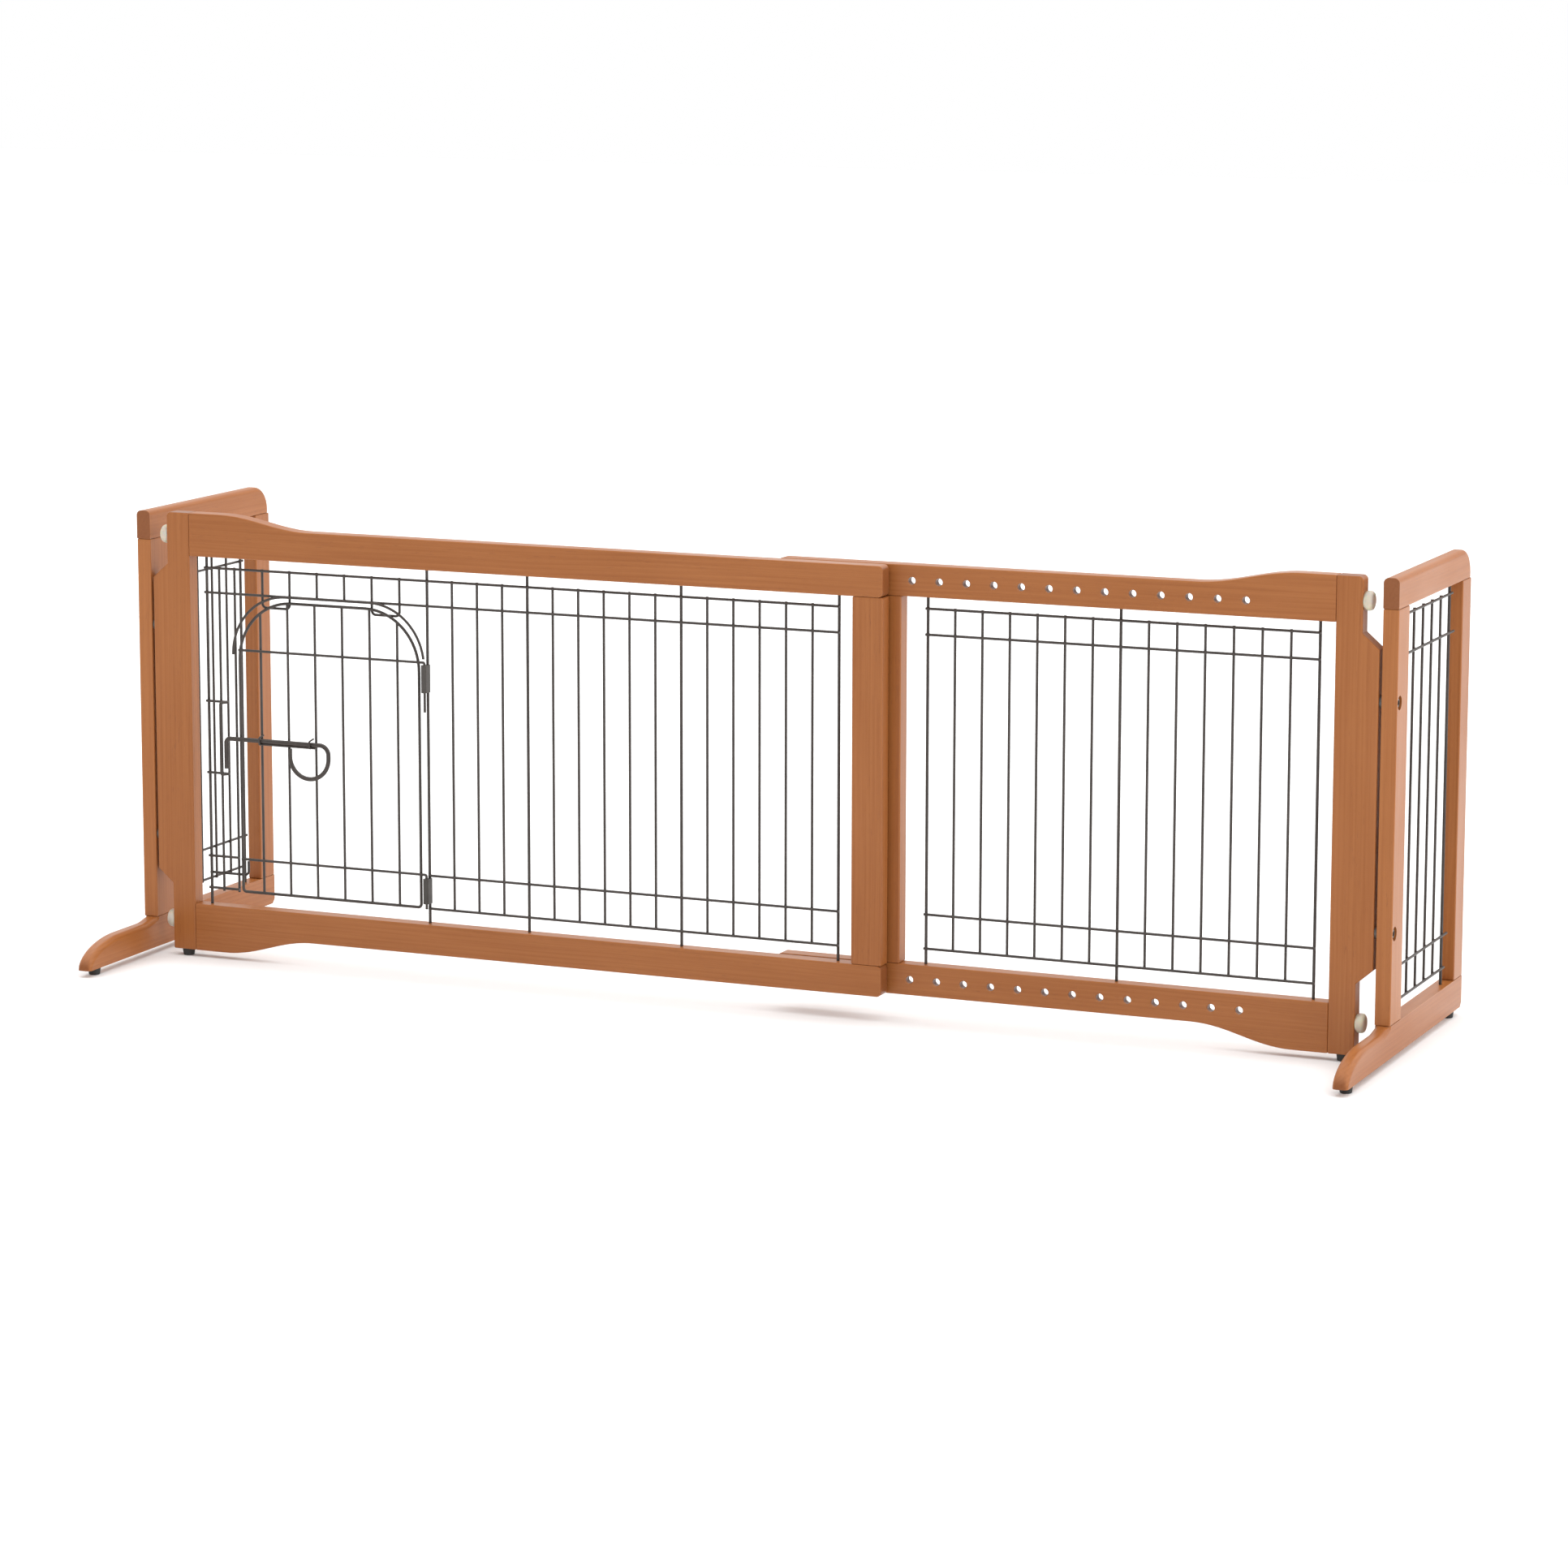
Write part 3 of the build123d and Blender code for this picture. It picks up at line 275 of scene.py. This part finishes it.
def varnished_board(name, along, shift, pith, tone=0.5, spacing=0.0045, figure=0.014):
    """Stained and varnished board with its own piece of grain."""
    material, tree, shader = new_material(f"Varnished {name}")
    coordinates = add(tree, "ShaderNodeTexCoord").outputs
    vector, parts = grain_space(tree, coordinates["Object"], along, shift)
    grain = place_group(tree, timber_grain, {
        "Vector": vector, "Pith": pith, "Ring spacing": spacing, "Figure": figure,
    })
    edge = place_group(tree, softened_edge, {"Vector": coordinates["Object"], "Reach": 0.0016})
    depth = maths(tree, "ADD", maths(tree, "MULTIPLY", grain["Rings"], 0.13),
                  maths(tree, "MULTIPLY", grain["Streaks"], 0.26))
    depth = maths(tree, "ADD", depth, maths(tree, "MULTIPLY", grain["Mottle"], 0.60))
    depth = maths(tree, "ADD", depth, tone - 0.50, clamp=True)
    colour = blend_colours(tree, depth, HONEY, AMBER)
    colour = blend_colours(tree, maths(tree, "MULTIPLY", grain["Pores"], 0.42), colour, PORE)
    # Arrises tinted paler: partly thin stain, partly a painted highlight where the eased edges catch
    # the light.
    colour = blend_colours(tree, maths(tree, "MULTIPLY", edge["Mask"], 0.22), colour, PALE_ARRIS_AND_HIGHLIGHT)
    normal = add(tree, "ShaderNodeSeparateXYZ", {0: coordinates["Normal"]}).outputs[along]
    facing = maths(tree, "ABSOLUTE", normal)
    cut_end = ramp(tree, facing, 0.55, 0.95)
    colour = blend_colours(tree, maths(tree, "MULTIPLY", cut_end, 0.6), colour, END_GRAIN)
    tree.links.new(colour, shader.inputs["Base Color"])
    rough = ramp(tree, grain["Mottle"], 0.3, 0.7, 0.30, 0.42)
    tree.links.new(rough, shader.inputs["Roughness"])
    set_shader(shader, Coat_Weight=0.04, Coat_Roughness=0.15, Coat_IOR=1.4, IOR=1.36)
    bump(tree, shader, grain["Height"], 0.25, 0.00012)
    return material


def coated(name, dark, light, roughness, edge_colour, edge_reach):
    """Powder-coated steel."""
    material, tree, shader = new_material(name)
    place = add(tree, "ShaderNodeTexCoord").outputs["Object"]
    coat = place_group(tree, powder_coat, {"Vector": place})
    edge = place_group(tree, softened_edge, {"Vector": place, "Reach": edge_reach, "Break up": 140.0})
    colour = blend_colours(tree, coat["Tone"], dark, light)
    colour = blend_colours(tree, maths(tree, "MULTIPLY", edge["Mask"], 0.35), colour, edge_colour)
    tree.links.new(colour, shader.inputs["Base Color"])
    rough = maths(tree, "ADD", maths(tree, "MULTIPLY", coat["Gloss change"], 0.12), roughness)
    tree.links.new(rough, shader.inputs["Roughness"])
    set_shader(shader, Metallic=0.0, IOR=1.5)
    bump(tree, shader, coat["Height"], 0.3, 0.00004)
    return material


def plain_look(name, a, b, size, rough_low, rough_high, bump_size, bump_depth, **settings):
    """Moulded or machined finish: two close tones in slow patches over a fine skin."""
    material, tree, shader = new_material(name)
    place = add(tree, "ShaderNodeTexCoord").outputs["Object"]
    patches = ramp(tree, noise_of(tree, place, size, 3.0), 0.3, 0.7)
    tree.links.new(blend_colours(tree, patches, a, b), shader.inputs["Base Color"])
    rough = maths(tree, "MULTIPLY", patches, rough_high - rough_low)
    tree.links.new(maths(tree, "ADD", rough, rough_low), shader.inputs["Roughness"])
    set_shader(shader, **settings)
    bump(tree, shader, noise_of(tree, place, bump_size, 2.0), 0.4, bump_depth)
    return material


wire_coat = coated("Brown powder coat", (0.030, 0.022, 0.018, 1), (0.046, 0.035, 0.029, 1), 0.42,
                   (0.095, 0.080, 0.066, 1), 0.0004)
strip_coat = coated("Brown coated strip", (0.034, 0.028, 0.024, 1), (0.058, 0.049, 0.042, 1), 0.36,
                    (0.16, 0.14, 0.12, 1), 0.0006)
black_rubber = plain_look("Black rubber", (0.022, 0.022, 0.021, 1), (0.036, 0.035, 0.033, 1), 160.0,
                          0.62, 0.78, 1800.0, 0.00008, IOR=1.5)
pale_rubber = plain_look("Pale translucent rubber", (0.60, 0.55, 0.42, 1), (0.54, 0.50, 0.43, 1), 90.0,
                         0.34, 0.48, 900.0, 0.00003, Subsurface_Weight=0.45, Subsurface_Scale=0.004,
                         IOR=1.45)
dark_steel = plain_look("Blackened steel", (0.11, 0.105, 0.10, 1), (0.20, 0.19, 0.18, 1), 300.0,
                        0.28, 0.42, 1500.0, 0.00004, Metallic=1.0)
grey_plastic = plain_look("Grey washer plastic", (0.10, 0.092, 0.085, 1),
                          (0.135, 0.125, 0.115, 1), 120.0,
                          0.45, 0.55, 1100.0, 0.00003, IOR=1.48)
brown_plastic = plain_look("Brown peg plastic", (0.30, 0.135, 0.052, 1), (0.36, 0.165, 0.066, 1), 60.0,
                           0.34, 0.44, 1300.0, 0.00003, IOR=1.48)
pale_wood = plain_look("Plain dowel wood", (0.56, 0.39, 0.22, 1), (0.64, 0.46, 0.27, 1), 80.0,
                       0.6, 0.7, 800.0, 0.0001, IOR=1.45)


def paint(node, material):
    data = nodes[node].data
    data.materials.clear()
    data.materials.append(material)


BOARDS = {
    "outer_post": ("Z", (0.31, 0.12, 0.40), (0.030, -0.045, 0.0), 0.50),
    "inner_post": ("Z", (0.77, 0.35, 1.10), (-0.060, 0.040, 0.0), 0.58),
    "top_rail": ("X", (1.42, 0.63, 0.20), (0.050, 0.060, 0.0), 0.50),
    "bottom_rail": ("X", (2.15, 0.91, 0.75), (-0.040, 0.070, 0.0), 0.54),
    "wing_top_rail": ("Y", (3.02, 1.24, 0.33), (0.040, -0.060, 0.0), 0.40),
    "wing_foot_rail": ("Y", (3.77, 1.58, 0.92), (-0.055, 0.050, 0.0), 0.50),
    "wing_front_post": ("Z", (4.31, 1.87, 0.15), (0.045, 0.055, 0.0), 0.30),
    "wing_back_post": ("Z", (5.08, 2.16, 0.61), (-0.050, -0.050, 0.0), 0.52),
}


def paint_boards():
    for number, side in enumerate(("left", "right")):
        for board, (along, shift, pith, tone) in BOARDS.items():
            moved = tuple(s + 7.3 * number for s in shift)
            # The rings' centre is given from the board's own middle.
            low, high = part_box(f"{side}_{board}")
            middle = (low + high) / 2
            axes = [dict(zip("XYZ", middle))[axis] for axis in ALONG[along]]
            centre = tuple(a + s + p for a, s, p in zip(axes, moved, pith))
            spoken = f"{side} {board.replace('_', ' ')}"
            paint(f"{side}_{board}", varnished_board(spoken, along, moved, centre, tone))


def paint_fittings():
    for side in ("left", "right"):
        for node in ("panel_grille", "wing_grille"):
            paint(f"{side}_{node}", wire_coat)
        for node, material in (("panel_dowels", pale_wood), ("wing_dowels", pale_wood),
                               ("wing_screws", dark_steel), ("wing_inserts", dark_steel),
                               ("wing_spacers", grey_plastic), ("bumpers", pale_rubber),
                               ("rubber_feet", black_rubber)):
            paint(f"{side}_{node}", material)
    for node in ("pet_door_frame", "pet_door_uprights", "pet_door_crossbars", "latch_guide",
                 "latch_bolt", "latch_keeper", "doorway_side_grille", "doorway_arch",
                 "left_panel_top_rows"):
        paint(node, wire_coat)
    for node in ("lower_hinge_sleeve", "upper_hinge_sleeve"):
        paint(node, strip_coat)
    for node in ("top_peg_1", "top_peg_2", "bottom_peg_1", "bottom_peg_2"):
        paint(node, brown_plastic)


paint_boards()
paint_fittings()


# ---- Pieces modelled here ----

def new_piece(name, points, faces, material, body, slot_name):
    mesh = bpy.data.meshes.new(name)
    mesh.from_pydata(points, [], faces)
    mesh.validate()
    for polygon in mesh.polygons:
        polygon.use_smooth = True
    mesh.materials.append(material)
    piece = bpy.data.objects.new(name, mesh)
    bpy.context.scene.collection.objects.link(piece)
    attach(piece, body)
    return piece


def turned(profile, centre, outward, segments=48):
    """Points and faces of a profile of (reach, radius) turned about X from a centre."""
    points = []
    for reach, radius in profile:
        for i in range(segments):
            angle = 2 * math.pi * i / segments
            points.append((centre[0] + outward * reach,
                           centre[1] + radius * math.cos(angle),
                           centre[2] + radius * math.sin(angle)))
    faces = []
    for ring in range(len(profile) - 1):
        for i in range(segments):
            a = ring * segments + i
            b = ring * segments + (i + 1) % segments
            face = (a, b, b + segments, a + segments)
            faces.append(face if outward > 0 else face[::-1])
    last = (len(profile) - 1) * segments
    ends = (tuple(range(segments))[::-1], tuple(range(last, last + segments)))
    faces += [end if outward > 0 else end[::-1] for end in ends]
    return points, faces


def joined(parts):
    points, faces = [], []
    for more_points, more_faces in parts:
        faces += [tuple(i + len(points) for i in face) for face in more_faces]
        points += more_points
    return points, faces


BUMPER_OUT = 0.0093
BUMPER_RADIUS = 0.0105
# Reach out of the post and radius: a shallow barrel with a rounded rim and a dished end.
BUMPER_PROFILE = (
    (0.0, 0.0090), (0.0004, 0.0094), (0.0010, 0.0096), (0.0014, 0.0099), (0.0026, 0.0103),
    (0.0042, 0.0105), (0.0058, 0.0104), (0.0070, 0.0101), (0.0080, 0.0095), (0.0088, 0.0086),
    (0.0092, 0.0075), (0.0093, 0.0064), (0.0091, 0.0053), (0.0088, 0.0046), (0.0087, 0.0020),
)


def barrel_bumpers():
    for side, outward in (("left", -1), ("right", 1)):
        low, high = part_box(f"{side}_bumpers")
        outer = high[0] if outward > 0 else low[0]
        root = outer - outward * BUMPER_OUT
        middle = (low[1] + high[1]) / 2
        barrels = [turned(BUMPER_PROFILE, (root, middle, z), outward)
                   for z in (low[2] + BUMPER_RADIUS, high[2] - BUMPER_RADIUS)]
        piece = new_piece(f"{side}_barrel_bumpers", *joined(barrels), pale_rubber,
                          f"{side}_section", "pale_rubber")
        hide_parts(f"{side}_bumpers")


WIRE_RADIUS = 0.00145
BEAD_RADIUS = 0.00190


def bead(centre, radius, flat_axis, rings=5, segments=10):
    """Small lens of weld metal, flattened along the axis in which the wires lie on each other."""
    points, faces = [], []
    squeeze = [1.0, 1.0, 1.0]
    squeeze[flat_axis] = 0.72
    for ring in range(1, rings):
        lift = math.pi * ring / rings
        for i in range(segments):
            turn = 2 * math.pi * i / segments
            unit = (math.sin(lift) * math.cos(turn), math.sin(lift) * math.sin(turn), math.cos(lift))
            points.append(tuple(c + radius * s * u for c, s, u in zip(centre, squeeze, unit)))
    last = (rings - 2) * segments
    for ring in range(rings - 2):
        for i in range(segments):
            a = ring * segments + i
            b = ring * segments + (i + 1) % segments
            faces.append((a, a + segments, b + segments, b))
    faces.append(tuple(range(segments)))
    faces.append(tuple(range(last, last + segments))[::-1])
    return points, faces


PANEL_ROWS = (0.0793, 0.1168, 0.421, 0.449)
WING_ROWS = (0.0615, 0.0975, 0.426, 0.468)
BEAD_DEPTH = 0.0013       # from the centre of a row wire back to the weld


def row_of(first, last, count):
    return [first + (last - first) * i / (count - 1) for i in range(count)]


def weld_beads():
    """A bead where each upright wire meets each row wire."""
    low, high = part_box("right_panel_grille")
    y = low[1] + WIRE_RADIUS + BEAD_DEPTH
    overrun = 1.2 * WIRE_RADIUS
    across = row_of(low[0] + overrun, high[0] - overrun, 15)
    beads = [bead((x, y, z), BEAD_RADIUS, 1) for x in across for z in PANEL_ROWS]
    new_piece("right_panel_welds", *joined(beads), wire_coat, "right_section", "coated_wire")
    for side, outward in (("left", -1), ("right", 1)):
        low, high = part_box(f"{side}_wing_grille")
        along = row_of(low[1] + 0.010, high[1] - 0.010, 6)
        x = (high[0] - WIRE_RADIUS - BEAD_DEPTH) if outward > 0 else (low[0] + WIRE_RADIUS + BEAD_DEPTH)
        beads = [bead((x, y, z), BEAD_RADIUS, 0) for y in along for z in WING_ROWS]
        new_piece(f"{side}_wing_welds", *joined(beads), wire_coat, f"{side}_section", "coated_wire")


barrel_bumpers()
weld_beads()


# ---- Floor, light and camera ----

def studio_floor():
    """Large flat sheet of pale paper."""
    mesh = bpy.data.meshes.new("studio_floor")
    half = 16.0
    points = [(-half, -half, 0.0), (half, -half, 0.0), (half, half, 0.0), (-half, half, 0.0)]
    mesh.from_pydata(points, [], [(0, 1, 2, 3)])
    floor = bpy.data.objects.new("studio_floor", mesh)
    bpy.context.scene.collection.objects.link(floor)
    material, tree, shader = new_material("Studio paper")
    place = add(tree, "ShaderNodeTexCoord").outputs["Object"]
    tone = noise_of(tree, place, 0.6, 2.0)
    paper = blend_colours(tree, tone, (0.89, 0.89, 0.89, 1), (0.92, 0.92, 0.92, 1))
    tree.links.new(paper, shader.inputs["Base Color"])
    set_shader(shader, Roughness=0.9, IOR=1.2)
    mesh.materials.append(material)


def soft_box(name, place, aim, size, power):
    light = bpy.data.lights.new(name, "AREA")
    light.shape = "RECTANGLE"
    light.size, light.size_y = size
    light.energy = power
    box = bpy.data.objects.new(name, light)
    bpy.context.scene.collection.objects.link(box)
    box.location = place
    box.rotation_euler = (Vector(aim) - Vector(place)).to_track_quat("-Z", "Y").to_euler()


def studio_light():
    """Even white light, strongest overhead and weaker from the front."""
    world = bpy.data.worlds.new("Studio")
    world.use_nodes = True
    tree = world.node_tree
    tree.nodes.clear()
    direction = add(tree, "ShaderNodeTexCoord").outputs["Generated"]
    parts = add(tree, "ShaderNodeSeparateXYZ", {0: direction}).outputs
    from_back = ramp(tree, parts["Y"], -0.75, 0.05, 0.42, 1.0)
    overhead = ramp(tree, parts["Z"], 0.25, 0.95, 0.0, 1.25)
    from_right = ramp(tree, parts["X"], 0.35, 0.95, 0.0, 0.35)
    strength = maths(tree, "ADD", maths(tree, "ADD", from_back, overhead), from_right)
    seen = add(tree, "ShaderNodeLightPath").outputs["Is Camera Ray"]
    lit = add(tree, "ShaderNodeBackground", {"Strength": strength})
    plain = add(tree, "ShaderNodeBackground", {"Strength": 1.0})
    for background in (lit, plain):
        background.inputs["Color"].default_value = (1.0, 1.0, 1.0, 1.0)
    mixed = add(tree, "ShaderNodeMixShader", {0: seen, 1: lit.outputs[0], 2: plain.outputs[0]})
    output = add(tree, "ShaderNodeOutputWorld")
    tree.links.new(mixed.outputs[0], output.inputs["Surface"])
    bpy.context.scene.world = world
    soft_box("right_soft_box", (4.2, -0.6, 2.2), (0, 0, 0.25), (2.6, 2.2), 22)


CAMERA_PLACE = (2.1304, -4.8940, 1.1888)
CAMERA_TURN = (-23.3844, 9.3309, 0.0703)   # yaw, downward pitch and roll in degrees
CAMERA_LENS = 113.48
CAMERA_SHIFT = (0.00884, -0.0430)


def studio_camera():
    data = bpy.data.cameras.new("camera")
    data.sensor_width = 36.0
    data.lens = CAMERA_LENS
    data.shift_x, data.shift_y = CAMERA_SHIFT
    data.clip_end = 60.0
    camera = bpy.data.objects.new("camera", data)
    bpy.context.scene.collection.objects.link(camera)
    yaw, pitch, roll = (math.radians(angle) for angle in CAMERA_TURN)
    forward = Vector((
        math.sin(yaw) * math.cos(pitch), math.cos(yaw) * math.cos(pitch), -math.sin(pitch),
    ))
    level = Vector((math.cos(yaw), -math.sin(yaw), 0.0))
    upward = level.cross(forward)
    right = level * math.cos(roll) + upward * math.sin(roll)
    top = upward * math.cos(roll) - level * math.sin(roll)
    turned = Matrix((right, top, -forward)).transposed()
    camera.matrix_world = Matrix.Translation(CAMERA_PLACE) @ turned.to_4x4()
    bpy.context.scene.camera = camera


studio_floor()
studio_light()
studio_camera()
bpy.context.scene.view_settings.view_transform = "Standard"
